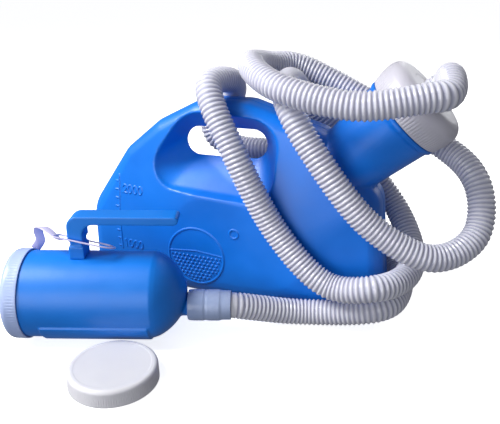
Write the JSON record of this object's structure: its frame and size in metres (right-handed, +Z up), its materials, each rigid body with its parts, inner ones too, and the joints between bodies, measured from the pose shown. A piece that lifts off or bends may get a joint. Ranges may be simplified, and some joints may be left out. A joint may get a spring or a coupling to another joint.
{
  "type": "urine bottle",
  "caption": "Blow-moulded urine bottle with a hand hole and slanted neck, a capped corrugated hose to a lidded receiving cup, and a loose sealing cap.",
  "frame": {"origin": "centre of the bottle's flat resting face, on the bottle's middle plane", "axes": "+X towards the neck and cap, +Y away from the side where the cup lies, +Z up"},
  "size_m": [0.3706, 0.2701, 0.2218],
  "materials": {
    "bottle_blue": "satin blow-moulded polyethylene",
    "cup_blue": "satin moulded polyethylene",
    "cap_white": "translucent natural polyethylene",
    "lid_white": "translucent natural polyethylene",
    "seal_white": "translucent natural polyethylene",
    "hose_clear": "translucent corrugated tube",
    "cuff_clear": "smooth translucent sleeve",
    "strap_clear": "thin translucent strap",
    "gasket": "soft sealing ring",
    "liner": "foamed sealing disc"
  },
  "bodies": {
    "bottle": {"bottle_body": "bottle_blue", "hose": "hose_clear", "cup_cuff": "cuff_clear"},
    "cap_carrier": {"cap_cuff": "cuff_clear"},
    "hose_cap": {"hose_cap": "cap_white", "cap_gasket": "gasket"},
    "cup": {"cup_body": "cup_blue", "cup_handle": "cup_blue", "lid_strap": "strap_clear"},
    "cup_lid": {"cup_lid": "lid_white"},
    "sealing_cap": {"sealing_cap": "seal_white", "sealing_liner": "liner"}
  },
  "joints": [
    {"name": "cap_lift", "type": "slide", "parent": "bottle", "child": "cap_carrier", "axis": [0.7193, 0, 0.6947], "range_m": [0, 0.012], "deforming": ["hose"]},
    {"name": "cap_turn", "type": "hinge", "parent": "cap_carrier", "child": "hose_cap", "pos_m": [0.144, 0, 0.1755], "axis": [0.7193, 0, 0.6947], "range_deg": [0, 1080]},
    {"name": "cup_pull", "type": "slide", "parent": "bottle", "child": "cup", "axis": [-0.9455, -0.3256, 0], "range_m": [0, 0.04]},
    {"name": "lid_pull", "type": "slide", "parent": "cup", "child": "cup_lid", "axis": [-0.9455, -0.3256, 0], "range_m": [0, 0.03], "deforming": ["lid_strap"]},
    {"name": "seal_lift", "type": "slide", "parent": "bottle", "child": "sealing_cap", "axis": [0.1455, -0.4226, 0.8946], "range_m": [0, 0.05]}
  ],
  "couplings": [
    {"joint": "cap_lift", "follows": "cap_turn", "m_per_rad": 0.0006366}
  ]
}
